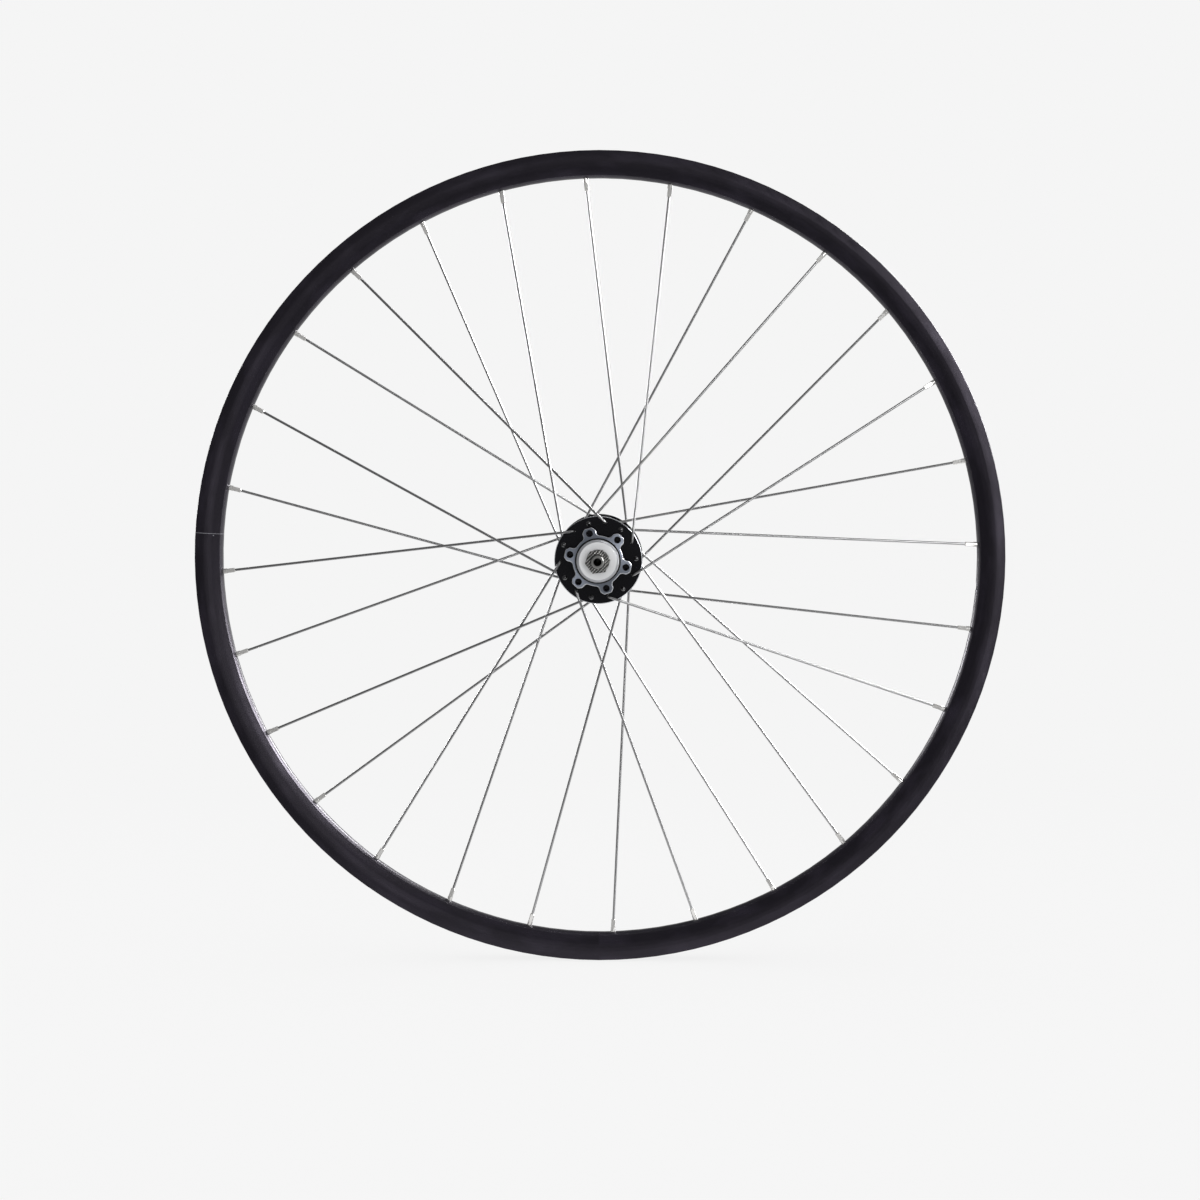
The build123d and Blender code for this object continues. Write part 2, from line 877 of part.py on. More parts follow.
def make_freehub_core():
    """The freehub's inner part: boss, pawl seat, two ball lands and the axle's cup."""
    inboard, outboard = row_stations()
    land = row_land_diameter / 2
    half = row_land_length / 2
    waist = core_waist_diameter / 2
    bore = core_bore_diameter / 2
    boss = core_boss_diameter / 2
    cup = core_cup_diameter / 2
    flange = core_flange_diameter / 2
    neck = fixing_bolt_diameter / 2 + seat
    pawl_end = ratchet_start() + ratchet_length
    station = right_ball_station
    cup_start = station - cup_depth()
    cup_mouth = freehub_end - core_mouth_inset
    lip = race_point(station, 0, -1)
    inner = race_point(station, race_wrap_angle, -1)
    floor = shell_end + core_floor
    body = turned_edges(
        race_arc(station, 0, race_wrap_angle, -1),
        Polyline(
            inner,
            (inner[0], cup_start + core_cup_step),
            (bore, cup_start),
            (bore, floor),
            (neck, floor),
            (neck, core_boss_start()),
            (boss, core_boss_start()),
            (boss, shell_end),
            (flange, shell_end),
            (flange, shell_end + core_flange_length),
            (land, shell_end + core_flange_length),
            (land, pawl_end),
            (waist, pawl_end),
            (waist, outboard - half),
            (land, outboard - half),
            (land, cup_start),
            (cup, cup_start + core_cup_step),
            (cup, cup_mouth),
            (lip[0], cup_mouth),
            lip,
        ),
    )
    body -= [groove(inboard), groove(outboard)]
    return body - around(pawl_pocket(), pawl_count)


def make_freehub_body(tooth_phase):
    """The splined body that the cassette slides on, with ratchet teeth inside."""
    inboard, outboard = row_stations()
    shoulder_end = freehub_start + freehub_shoulder_length
    bore = row_bore_diameter / 2
    ratchet_end = ratchet_start() + ratchet_length
    splined = disc(spline_diameter, shoulder_end, freehub_end)
    splined -= [
        prism(spline_groove(n), shoulder_end, freehub_end + cut_past)
        for n in range(spline_count)
    ]
    body = splined + disc(freehub_shoulder_diameter, freehub_start, shoulder_end)
    waist = ratchet_tip_diameter / 2
    lockring = lockring_bore_diameter / 2
    lockring_start = freehub_end - lockring_bore_length
    c = lockring_bore_chamfer
    body -= turned(
        (0, freehub_start - cut_past),
        (bore, freehub_start - cut_past),
        (bore, ratchet_start()),
        (waist, ratchet_start()),
        (waist, outboard - row_land_length / 2),
        (bore, outboard - row_land_length / 2),
        (bore, lockring_start),
        (lockring, lockring_start),
        (lockring, freehub_end - c),
        (lockring + c, freehub_end),
        (lockring + c, freehub_end + cut_past),
        (0, freehub_end + cut_past),
    )
    teeth = prism(tooth_gap(tooth_phase), ratchet_start(), ratchet_end)
    body -= around(teeth, ratchet_teeth)
    return body - [groove(inboard), groove(outboard)]


def spline_groove(number):
    """One groove between two splines; the last is narrow, so a cassette fits one way."""
    width = spline_narrow_groove_angle if number == 0 else spline_groove_angle
    root = spline_diameter / 2 - spline_depth
    half = radians(width) / 2
    far = spline_diameter
    corners = Polyline(
        (-root * sin(half), root * cos(half)),
        (-far * sin(half), far * cos(half)),
        (far * sin(half), far * cos(half)),
        (root * sin(half), root * cos(half)),
    )
    floor = ThreePointArc(
        (root * sin(half), root * cos(half)), (0, root), (-root * sin(half), root * cos(half))
    )
    return Rot(0, 0, -number * 360 / spline_count) * make_face(Curve() + [corners, floor])


def tooth_gap(phase):
    """The space before one ratchet tooth: a ramp out to the root, then a face."""
    tip = ratchet_tip_diameter / 2
    root = ratchet_root_diameter / 2
    pitch = 360 / ratchet_teeth
    low = tip - ratchet_cut_depth
    start, end = phase - pitch + ratchet_tip_angle, phase

    def at(radius, angle):
        turn = radians(angle)
        return (radius * sin(turn), radius * cos(turn))

    return make_face(
        Polyline(at(low, start), at(tip, start), at(root, end), at(low, end), close=True)
    )


def pawl_tip_height():
    """The height of a folded pawl's tip, just inside the ratchet's teeth."""
    tip_radius = ratchet_tip_diameter / 2 - gap
    return sqrt(tip_radius**2 - pawl_reach**2)


def pawl_outline():
    """A pawl folded in, pivot at the top and tip clockwise from it."""
    heel = pawl_pivot_diameter / 2
    tip = pawl_tip_height()
    under = tip - pawl_tip_thickness
    crown_radius = row_land_diameter / 2
    half = pawl_reach / 2
    blade = make_face(
        Polyline(
            (0, pawl_pivot_radius + heel),
            (half, sqrt(crown_radius**2 - half**2)),
            (pawl_reach, tip),
            (pawl_reach - pawl_tip_rake, under),
            (half, under),
            (0, pawl_pivot_radius - heel * pawl_belly_share),
            close=True,
        )
    )
    return blade + Pos(0, pawl_pivot_radius) * Circle(heel)


def pawl_span():
    """The pawls' two stations, centred on the ratchet."""
    middle = ratchet_start() + ratchet_length / 2
    return middle - pawl_length / 2, middle + pawl_length / 2


def pawl_floor(x):
    """The floor of a pawl's pocket, which falls away under the blade."""
    start = pawl_pivot_radius - pawl_pivot_diameter / 2 - slide
    return start - pawl_floor_slope * x


def pawl_pocket():
    """The pocket in the core: a round socket for the heel and a trench for the blade."""
    start, end = pawl_span()
    heel = pawl_pivot_diameter / 2
    over = row_land_diameter / 2 + cut_past
    near_end = pocket_heel_inset
    far = pawl_reach + pocket_tip_room
    trench = make_face(
        Polyline(
            (0, pawl_pivot_radius + heel + slide),
            (0, over),
            (far + pocket_tip_room, over),
            (far, pawl_floor(far)),
            (near_end, pawl_floor(near_end)),
            close=True,
        )
    )
    hole = trench + Pos(0, pawl_pivot_radius) * Circle(heel + slide)
    return prism(hole, start - slide, end + slide)


def make_pawl(number):
    start, end = pawl_span()
    return Rot(0, number * 360 / pawl_count, 0) * prism(pawl_outline(), start, end)


def make_pawl_springs():
    """The bent leaf under each pawl that pushes its tip out."""
    start, end = pawl_span()
    middle = (start + end) / 2
    t = pawl_spring_sheet
    lift = seat + t / 2
    foot, bend, tip = spring_foot, pawl_reach / 2, pawl_reach - spring_tip_inset
    under = pawl_tip_height() - pawl_tip_thickness - lift
    spine = Polyline(
        (foot, pawl_floor(foot) + lift), (bend, pawl_floor(bend) + lift), (tip, under)
    )
    leaf = make_face(offset(spine, t / 2, side=Side.BOTH).edges())
    one = prism(leaf, middle - pawl_spring_width / 2, middle + pawl_spring_width / 2)
    return Compound(children=around(one, pawl_count))


def make_fixing_bolt():
    """The hollow bolt that clamps the core to the shell, turned with a hexagon key."""
    head_start = shell_end + core_floor
    start = head_start - fixing_bolt_length
    body = disc(fixing_bolt_diameter, start, head_start)
    end = head_start + fixing_bolt_head_length
    body += disc(fixing_bolt_head_diameter, head_start, end)
    return body - prism(hexagon(fixing_bolt_hex, 0), start - cut_past, end + cut_past)


def make_freehub_seal():
    start = freehub_start + seal_inset
    inner = row_land_diameter + 2 * seal_lip
    return ring(row_bore_diameter - 2 * seat, start, start + seal_length, inner)


def make_parts():
    """Every node by name."""
    layout = [SpokeRun(n) for n in range(spoke_count)]
    inboard, outboard = row_stations()
    left_washer = lock_washer_span(-1)
    right_washer = lock_washer_span(1)
    nut_back = locknut_face - locknut_thickness
    # A tooth face stands just past each pawl's tip when the pawl is out.
    tooth_phase = degrees(pawl_reach / pawl_pivot_radius) * tooth_lead_share
    parts = {
        "rim": make_rim(layout),
        "rim_joint_sleeve": make_rim_joint_sleeve(),
        "nipples": Compound(children=[make_nipple(run) for run in layout]),
        "hub_shell": make_hub_shell(layout),
        "left_bearing_cup": make_left_bearing_cup(),
        "left_dust_cap": make_left_dust_cap(),
        "left_bearing_balls": make_balls(
            -left_ball_station, ball_diameter, ball_circle_diameter, ball_count
        ),
        "right_bearing_balls": make_balls(
            right_ball_station, ball_diameter, ball_circle_diameter, ball_count
        ),
        "axle": make_axle(),
        "left_cone": make_left_cone(),
        "left_lock_washer": ring(lock_washer_diameter, *left_washer),
        "left_spacer": ring(spacer_diameter, -nut_back, left_washer[0]),
        "left_locknut": make_locknut(-1),
        "right_cone": make_cone(1, right_ball_station, right_cone_end()),
        "right_lock_washer": ring(lock_washer_diameter, *right_washer),
        "right_locknut": make_locknut(1),
        "right_dust_seal": make_right_dust_seal(),
        "freehub_core": make_freehub_core(),
        "freehub_fixing_bolt": make_fixing_bolt(),
        "freehub_body": make_freehub_body(tooth_phase),
        "freehub_seal": make_freehub_seal(),
        "freehub_inboard_balls": make_balls(
            inboard, row_ball_diameter, row_circle_diameter, row_ball_count
        ),
        "freehub_outboard_balls": make_balls(
            outboard, row_ball_diameter, row_circle_diameter, row_ball_count
        ),
        "pawl_springs": make_pawl_springs(),
    }
    for n in range(pawl_count):
        parts[f"pawl_{n + 1}"] = make_pawl(n)
    for n, run in enumerate(layout):
        parts[f"spoke_{n + 1:02d}"] = make_spoke(run)
    return parts


os.makedirs("parts", exist_ok=True)
for name, shape in make_parts().items():
    export_step(shape, f"parts/{name}.step")
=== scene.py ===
from math import cos, floor, pi, radians, sin

import bpy
from mathutils import Matrix, Vector


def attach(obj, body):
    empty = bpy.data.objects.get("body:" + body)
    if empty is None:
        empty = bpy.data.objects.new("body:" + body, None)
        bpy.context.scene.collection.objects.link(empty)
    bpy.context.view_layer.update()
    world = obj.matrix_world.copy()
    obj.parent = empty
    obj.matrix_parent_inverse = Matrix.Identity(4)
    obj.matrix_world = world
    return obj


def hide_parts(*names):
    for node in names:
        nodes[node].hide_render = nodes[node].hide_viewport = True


# The looks of a rear bicycle wheel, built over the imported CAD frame. Lengths are in
# metres in the CAD's own frame: the axle lies along Y through the origin, the disc
# side faces -Y and +Z is up. Clock angles run clockwise from the top as seen from
# the disc side, so a place at clock angle a lies at (sin a, cos a) in (x, z).

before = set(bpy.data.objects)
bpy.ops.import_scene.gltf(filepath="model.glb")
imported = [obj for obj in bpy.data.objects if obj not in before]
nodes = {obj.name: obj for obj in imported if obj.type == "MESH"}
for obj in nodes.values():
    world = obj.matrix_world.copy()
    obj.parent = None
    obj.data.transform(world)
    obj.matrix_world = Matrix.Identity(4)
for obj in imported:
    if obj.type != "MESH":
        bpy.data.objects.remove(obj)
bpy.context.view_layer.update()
mm = 0.001

# Sizes shared with the CAD: the rim and the spokes
spoke_pitch = 360 / 28
first_spoke_angle = -2.06
seam_angle = first_spoke_angle + 21.5 * spoke_pitch - 0.7 - 360
valve_angle = first_spoke_angle + 7.5 * spoke_pitch
rim_radius = 317.0 * mm
rim_hole_radius = 4.25 * mm  # of the access holes and the valve hole
bridge_radius = 305.0 * mm  # of the wall that the access holes go through
bridge_reach = 1.6 * mm  # up and down from there, past both of its faces
spoke_circle = 29.3 * mm
head_height = 1.25 * mm

# Sizes shared with the CAD: the hub shell
flange_radius = 34.0 * mm
flange_face_left = 36.1 * mm
flange_face_right = 22.1 * mm
disc_face = 52.2 * mm
disc_mount_angle = -17.1
disc_bolt_pitch = 60
disc_bolt_circle = 22.0 * mm
disc_bolt_mouth_radius = 2.6 * mm
disc_bolt_hole_end = 43.0 * mm
disc_register_radius = 17.45 * mm
lug_edge_chamfer = 0.45 * mm

# Sizes shared with the CAD: the axle, its locknuts and the freehub
locknut_face = 67.5 * mm
locknut_thickness = 5.0 * mm
locknut_flats = 17.0 * mm
locknut_angle = 23.0
locknut_chamfer = 0.5 * mm
locknut_bore = 4.72 * mm
axle_end = 73.0 * mm
axle_radius = 5.0 * mm
axle_thread_radius = 4.7 * mm
axle_waist_radius = 4.4 * mm
axle_bore_radius = 2.9 * mm
axle_chamfer = 0.6 * mm
axle_left_nose = -38.2 * mm
axle_right_nose = 49.0 * mm
freehub_end = 61.9 * mm
lockring_bore_radius = 14.9 * mm

# Sizes shared with the CAD: the dust cap
cap_radius = 16.4 * mm
cap_face_radius = 14.6 * mm
cap_hole_radius = 8.7 * mm
cap_sheet = 0.8 * mm
cap_back = 51.7 * mm
cap_edge = 54.7 * mm
cap_face = 55.6 * mm
cap_lip_width = 1.2 * mm
cap_lip_drop = 0.7 * mm

# Fine detail that only the looks have
axle_thread_pitch = 1.0 * mm
axle_thread_depth = 0.5 * mm
bolt_thread_pitch = 0.8 * mm
lockring_thread_pitch = 1.06 * mm
lockring_thread_length = 9.0 * mm
knurl_pitch = 1.8 * mm
knurl_step = knurl_pitch * 1.414  # along X or Z, since the knurl runs at 45 degrees
knurl_depth = 0.4 * mm
knurl_ridge_share = 0.72  # of the depth, in the deeper of the two sets of grooves
cap_serrations = 108
cap_serration_depth = 0.14 * mm
spoke_head_reach = 1.75 * mm  # from its hole's middle, as far as its look goes
seam_half_width = 0.08 * mm
rub_angle = -86.6
rub_radius = 302.8 * mm
rub_reach = 0.3 * mm

# Where the rim's finish changes, by distance from the axle
rim_bed_start = (299.4 * mm, 298.8 * mm)
rim_taper_end = (303.6 * mm, 305.4 * mm)
rim_outer_band_start = (309.6 * mm, 311.4 * mm)

noise_span = (0.3, 0.7)  # most values of a noise lie in it


class Nodes:
    """A node tree, built node by node. A value is a number, a colour or a socket."""

    def __init__(self, tree):
        self.tree = tree

    def put(self, socket, value):
        if isinstance(value, bpy.types.NodeSocket):
            self.tree.links.new(value, socket)
        elif socket.type == "RGBA":
            socket.default_value = (*value, 1)
        else:
            socket.default_value = value

    def make(self, kind, **settings):
        made = self.tree.nodes.new(kind)
        for name, value in settings.items():
            setattr(made, name, value)
        return made

    def math(self, operation, *values):
        made = self.make("ShaderNodeMath", operation=operation)
        for socket, value in zip(made.inputs, values):
            self.put(socket, value)
        return made.outputs[0]

    def without(self, share):
        """What a share leaves of 1."""
        return self.math("SUBTRACT", 1.0, share)

    def both(self, *shares):
        """The product of shares: 1 only where each of them is 1."""
        result = shares[0]
        for share in shares[1:]:
            result = self.math("MULTIPLY", result, share)
        return result

    def length(self, a, b):
        return self.math("SQRT", self.math("MULTIPLY_ADD", a, a, self.math("MULTIPLY", b, b)))

    def vector(self, x, y, z):
        made = self.make("ShaderNodeCombineXYZ")
        for socket, value in zip(made.inputs, (x, y, z)):
            self.put(socket, value)
        return made.outputs[0]

    def split(self, place):
        made = self.make("ShaderNodeSeparateXYZ")
        self.put(made.inputs[0], place)
        return made.outputs

    def ramp(self, value, start, end, low=0.0, high=1.0):
        """Runs from low to high as the value goes from start to end."""
        made = self.make("ShaderNodeMapRange")
        for socket, setting in zip(made.inputs, (value, start, end, low, high)):
            self.put(socket, setting)
        return made.outputs[0]

    def band(self, value, middle, half, soft):
        """1 within half of the middle, falling to 0 over soft."""
        away = self.math("ABSOLUTE", self.math("SUBTRACT", value, middle))
        return self.ramp(away, half, half + soft, 1.0, 0.0)

    def blend(self, share, a, b):
        """A number between two numbers."""
        return self.ramp(share, 0.0, 1.0, a, b)

    def mix(self, share, a, b):
        """A colour between two colours."""
        made = self.make("ShaderNodeMix", data_type="RGBA")
        self.put(made.inputs["Factor"], share)
        sockets = [s for s in made.inputs if s.type == "RGBA"]
        self.put(sockets[0], a)
        self.put(sockets[1], b)
        return next(s for s in made.outputs if s.type == "RGBA")

    def noise(self, place, scale=1.0, detail=2.0):
        made = self.make("ShaderNodeTexNoise")
        for name, value in (("Vector", place), ("Scale", scale), ("Detail", detail)):
            self.put(made.inputs[name], value)
        return made.outputs["Fac"]

    def stretched_noise(self, values, scales, detail):
        """Noise over three values, each at its own scale."""
        parts = [self.math("MULTIPLY", value, scale) for value, scale in zip(values, scales)]
        return self.noise(self.vector(*parts), detail=detail)


class Look(Nodes):
    """One procedural material, laid out in the CAD's own frame."""

    def __init__(self, name, **surface):
        self.material = bpy.data.materials.new(name)
        self.material.use_nodes = True
        super().__init__(self.material.node_tree)
        self.shader = self.tree.nodes["Principled BSDF"]
        for socket, value in surface.items():
            self.set(socket.replace("_", " "), value)
        self.place = self.make("ShaderNodeTexCoord").outputs["Object"]
        self.x, self.y, self.z = self.split(self.place)
        self.radius = self.length(self.x, self.z)
        self.angle = self.math("ARCTAN2", self.x, self.z)  # the clock angle in radians

    def set(self, name, value):
        """Gives one of the shader's own sockets a value."""
        self.put(self.shader.inputs[name], value)

    def from_nearest(self, first, pitch):
        """The angle in radians from the nearest of the places round the axle that are
        a pitch apart, both in degrees."""
        turn = self.math("SUBTRACT", self.angle, radians(first))
        share = self.math("DIVIDE", turn, radians(pitch))
        off = self.math("SUBTRACT", share, self.math("ROUND", share))
        return self.math("MULTIPLY", off, radians(pitch))

    def rings(self, scale, along):
        """Noise in rings about the axle, as a lathe tool leaves them, which changes
        with along too."""
        return self.stretched_noise((self.radius, along, 0.0), (scale, scale, scale), 1.0)

    def thread(self, angle, pitch):
        """A thread's height that winds along Y, from 0 to 0.5."""
        turns = self.math("DIVIDE", angle, 2 * pi)
        winding = self.math("SUBTRACT", self.math("DIVIDE", self.y, pitch), turns)
        return self.math("PINGPONG", winding, 0.5)

    def vary_roughness(self, noise, low, high):
        self.set("Roughness", self.ramp(noise, *noise_span, low, high))

    def brush_round(self, amount):
        """Spreads the shine outwards, as tool marks running round the axle do."""
        tangent = self.make("ShaderNodeTangent", direction_type="RADIAL", axis="Y")
        self.set("Tangent", tangent.outputs[0])
        self.set("Anisotropic", amount)
        self.set("Anisotropic Rotation", 0.25)

    def bump(self, height, distance, strength):
        """Raises the surface by height times distance."""
        made = self.make("ShaderNodeBump")
        for name, value in (("Height", height), ("Distance", distance), ("Strength", strength)):
            self.put(made.inputs[name], value)
        self.set("Normal", made.outputs[0])


# Materials


def rim_look():
    """Satin black anodised extrusion, bright where it was cut after anodising."""
    look = Look("rim_anodised", Specular_IOR_Level=0.45, Specular_Tint=(0.90, 0.82, 1.0))
    place = (look.angle, look.y, look.radius)
    lines = look.stretched_noise(place, scales=(7.0, 5200.0, 5200.0), detail=1.0)
    cloud = look.stretched_noise(place, scales=(9.0, 60.0, 90.0), detail=3.0)

    def way_from(angle):
        """The way along the rim from a clock angle."""
        turn = look.math("SUBTRACT", look.angle, radians(angle))
        return look.math("MULTIPLY", turn, look.radius)

    def hole_edge(way, start, end):
        """1 at the edge of a hole, fading from start to end outside it."""
        away = look.length(way, look.y)
        return look.ramp(away, rim_hole_radius + start, rim_hole_radius + end, 1.0, 0.0)

    from_nipple = look.from_nearest(first_spoke_angle, spoke_pitch)
    nipple_way = look.math("MULTIPLY", from_nipple, bridge_radius)
    access_edges = look.both(
        look.band(look.radius, bridge_radius, bridge_reach, 0.2 * mm),
        hole_edge(nipple_way, 0.03 * mm, 0.11 * mm),
    )
    valve_edge = hole_edge(way_from(valve_angle), 0.05 * mm, 0.15 * mm)
    bare = look.math("MAXIMUM", access_edges, valve_edge)

    seam = look.band(way_from(seam_angle), 0.0, seam_half_width, 0.12 * mm)
    rub_turn = radians(rub_angle)
    from_rub = look.length(
        look.math("SUBTRACT", look.x, rub_radius * sin(rub_turn)),
        look.math("SUBTRACT", look.z, rub_radius * cos(rub_turn)),
    )
    on_disc_side = look.ramp(look.y, -2.0 * mm, -3.0 * mm)
    near_rub = look.ramp(from_rub, rub_reach, rub_reach + 0.2 * mm, 1.0, 0.0)
    rub = look.both(near_rub, on_disc_side)
    mark = look.math("MAXIMUM", seam, rub)

    bloom = look.ramp(cloud, 0.44, 0.66)
    black = look.mix(bloom, (0.0062, 0.0054, 0.0084), (0.0160, 0.0138, 0.0205))
    cut = look.mix(bare, black, (0.62, 0.63, 0.66))
    look.set("Base Color", look.mix(mark, cut, (0.34, 0.34, 0.37)))
    look.set("Metallic", look.math("MAXIMUM", bare, look.math("MULTIPLY", mark, 0.4)))

    # The face is duller than the rest, the taper glossier, and the bed has no lines
    bed = look.ramp(look.radius, *rim_bed_start)
    past_taper = look.ramp(look.radius, *rim_taper_end)
    outer_band = look.ramp(look.radius, *rim_outer_band_start)
    smooth = look.ramp(cloud, 0.35, 0.68, 0.38, 0.27)
    dull = look.blend(look.both(past_taper, look.without(outer_band)), 0.0, 0.10)
    glossy = look.blend(look.math("MAXIMUM", past_taper, bed), -0.05, 0.0)
    finish = look.math("ADD", look.math("ADD", smooth, dull), glossy)
    look.set("Roughness", look.math("MULTIPLY_ADD", lines, look.blend(bed, 0.08, 0.0), finish))
    look.bump(look.without(mark), 0.02 * mm, 0.8)
    return look.material


def hub_look():
    """Glossy black anodised shell with its disc lugs faced after anodising."""
    look = Look("hub_anodised", Specular_IOR_Level=0.5)
    look.brush_round(0.75)
    rings = look.rings(9000.0, look.y)

    def reaching(face):
        """1 on what reaches a face that far out on the disc side."""
        return look.ramp(look.y, 0.05 * mm - face, 0.01 * mm - face)

    flat = reaching(disc_face)
    past_register = look.ramp(
        look.radius, disc_register_radius + 0.1 * mm, disc_register_radius + 0.2 * mm
    )
    faced = look.both(reaching(disc_face - lug_edge_chamfer), past_register)

    turn = look.from_nearest(disc_mount_angle, disc_bolt_pitch)
    side = look.math("MULTIPLY", look.radius, look.math("SINE", turn))
    out = look.math("MULTIPLY", look.radius, look.math("COSINE", turn))
    out = look.math("SUBTRACT", out, disc_bolt_circle)
    mouth = (disc_bolt_mouth_radius + 0.02 * mm, disc_bolt_mouth_radius + 0.06 * mm)
    # Painted shade: the bolt holes and their mouths get a near-black metal.
    hole_painted_dark = look.both(
        look.ramp(look.length(side, out), *mouth, 1.0, 0.0),
        look.ramp(look.y, -disc_bolt_hole_end, -disc_bolt_hole_end - 1.5 * mm),
    )
    thread = look.thread(look.math("ARCTAN2", side, out), bolt_thread_pitch)

    edge_inset = 0.25 * mm  # half of the flange edge's round
    # Painted highlight: the disc-side flange's rounded edge is bare metal, partly wear and partly
    # a highlight line.
    worn_and_highlit_edge = look.both(
        look.band(look.radius, flange_radius - edge_inset, 0.16 * mm, 0.06 * mm),
        look.band(look.y, edge_inset - flange_face_left, 0.22 * mm, 0.05 * mm),
    )
    bare = look.math("MAXIMUM", look.math("MAXIMUM", faced, hole_painted_dark), worn_and_highlit_edge)
    black = look.mix(rings, (0.0025, 0.0025, 0.004), (0.005, 0.005, 0.007))
    # Painted highlight: off the lug faces, on the lug chamfers and the flange edge, the bare
    # metal is brighter.
    machined_with_highlit_edges = look.mix(flat, (0.86, 0.88, 0.92), (0.44, 0.48, 0.57))
    metal = look.mix(hole_painted_dark, machined_with_highlit_edges, (0.03, 0.03, 0.036))
    look.set("Base Color", look.mix(bare, black, metal))
    look.set("Metallic", bare)
    look.set("Roughness", look.blend(bare, look.math("MULTIPLY_ADD", rings, 0.03, 0.07), 0.42))
    height = look.math("ADD", look.math("MULTIPLY", rings, 0.002), look.both(hole_painted_dark, thread))
    look.bump(height, 0.5 * mm, 0.8)
    return look.material


def drawn_steel_look():
    """Stainless wire with a faint grain, and polished heads painted darker as a painted
    reflection.
    """
    look = Look("spoke_stainless", Metallic=1.0)
    grain = look.noise(look.place, scale=60.0, detail=1.0)
    half = head_height / 2
    on_left = look.band(look.y, -flange_face_left - half, half, 0.05 * mm)
    on_right = look.band(look.y, flange_face_right + half, half, 0.05 * mm)
    head_painted_dark = look.both(
        look.band(look.radius, spoke_circle, spoke_head_reach, 0.1 * mm),
        look.math("MAXIMUM", on_left, on_right),
    )
    # Painted reflection: the heads get a darker copy of the steel.
    look.set("Base Color", look.mix(head_painted_dark, (0.50, 0.50, 0.505), (0.18, 0.18, 0.185)))
    drawn = look.ramp(grain, *noise_span, 0.30, 0.34)
    look.set("Roughness", look.blend(head_painted_dark, drawn, 0.10))
    return look.material


def plain_metal_look(name, colour, roughness, spread=0.06, metallic=1.0):
    """A metal whose finish varies a little from place to place."""
    look = Look(name, Base_Color=colour, Metallic=metallic)
    look.vary_roughness(look.noise(look.place, scale=700.0), roughness, roughness + spread)
    return look.material


def bearing_look():
    """Ground steel with fine rings about the axle."""
    look = Look("bearing_steel", Base_Color=(0.55, 0.55, 0.54), Metallic=1.0)
    rings = look.rings(7000.0, look.y)
    look.vary_roughness(rings, 0.16, 0.24)
    look.bump(rings, 0.02 * mm, 0.5)
    return look.material


def cap_look():
    """A satin silver disc within a more metallic serrated band, painted darker as painted shade
    in its serrations.
    """
    look = Look("cap_satin_silver")
    look.brush_round(0.6)
    rings = look.rings(7000.0, 0.0)
    band = look.ramp(look.radius, cap_face_radius - 0.15 * mm, cap_face_radius)
    # Painted shade: the serrated band gets a darker silver than the disc.
    look.set("Base Color", look.mix(band, (0.92, 0.925, 0.94), (0.66, 0.67, 0.70)))
    look.set("Metallic", look.blend(band, 0.25, 0.8))
    look.set("Roughness", look.blend(band, look.math("MULTIPLY_ADD", rings, 0.06, 0.42), 0.34))
    look.bump(rings, 0.01 * mm, 0.4)
    return look.material


def axle_look():
    """Plated steel outside, darker and rougher in the bore."""
    look = Look("axle_steel_plated", Metallic=1.0)
    wall = (axle_bore_radius + 0.15 * mm, axle_bore_radius + 0.25 * mm)
    bore = look.ramp(look.radius, *wall, 1.0, 0.0)
    plated = look.ramp(look.noise(look.place, scale=700.0), *noise_span, 0.34, 0.42)
    look.set("Base Color", look.mix(bore, (0.34, 0.34, 0.33), (0.10, 0.10, 0.10)))
    look.set("Roughness", look.blend(bore, plated, 0.6))
    return look.material


def nut_look():
    """Dark plated steel; the crests of one set of its knurl's grooves are painted bright, partly
    rubbed wear and partly a painted highlight.
    """
    look = Look("nut_steel_plated", Metallic=1.0)
    across = look.math("DIVIDE", look.math("SUBTRACT", look.x, look.z), knurl_step)
    crest = look.math("PINGPONG", across, 0.5)
    away = look.math("ABSOLUTE", look.y)
    face = look.ramp(away, locknut_face - 0.5 * mm, locknut_face - 0.3 * mm)
    past_mouth = look.ramp(look.radius, axle_radius + 0.4 * mm, axle_radius + 0.8 * mm)
    # Painted highlight: bright stripes along the crests of one set of knurl grooves.
    rubbed_and_highlit = look.both(look.ramp(crest, 0.2, 0.35), face, past_mouth)
    look.set("Base Color", look.mix(rubbed_and_highlit, (0.13, 0.127, 0.123), (0.70, 0.69, 0.68)))
    look.vary_roughness(look.noise(look.place, scale=700.0), 0.26, 0.34)
    return look.material


def freehub_look():
    """Zinc-plated steel, turned, with a lockring thread in the outer end's bore."""
    look = Look("freehub_plated", Base_Color=(0.50, 0.495, 0.48), Metallic=1.0)
    rings = look.rings(5000.0, look.y)
    thread_start = freehub_end - lockring_thread_length
    in_bore = look.both(
        look.ramp(look.y, thread_start, thread_start + 0.4 * mm),
        look.band(look.radius, lockring_bore_radius, 0.1 * mm, 0.05 * mm),
    )
    thread = look.both(in_bore, look.thread(look.angle, lockring_thread_pitch))
    look.vary_roughness(rings, 0.26, 0.36)
    look.bump(look.math("MULTIPLY_ADD", rings, 0.02, thread), 0.5 * mm, 0.8)
    return look.material


def rubber_look():
    look = Look("seal_rubber", Base_Color=(0.014, 0.014, 0.015), Roughness=0.62)
    look.bump(look.noise(look.place, scale=4000.0), 0.02 * mm, 0.5)
    return look.material


# Pieces that carry detail too fine for the CAD


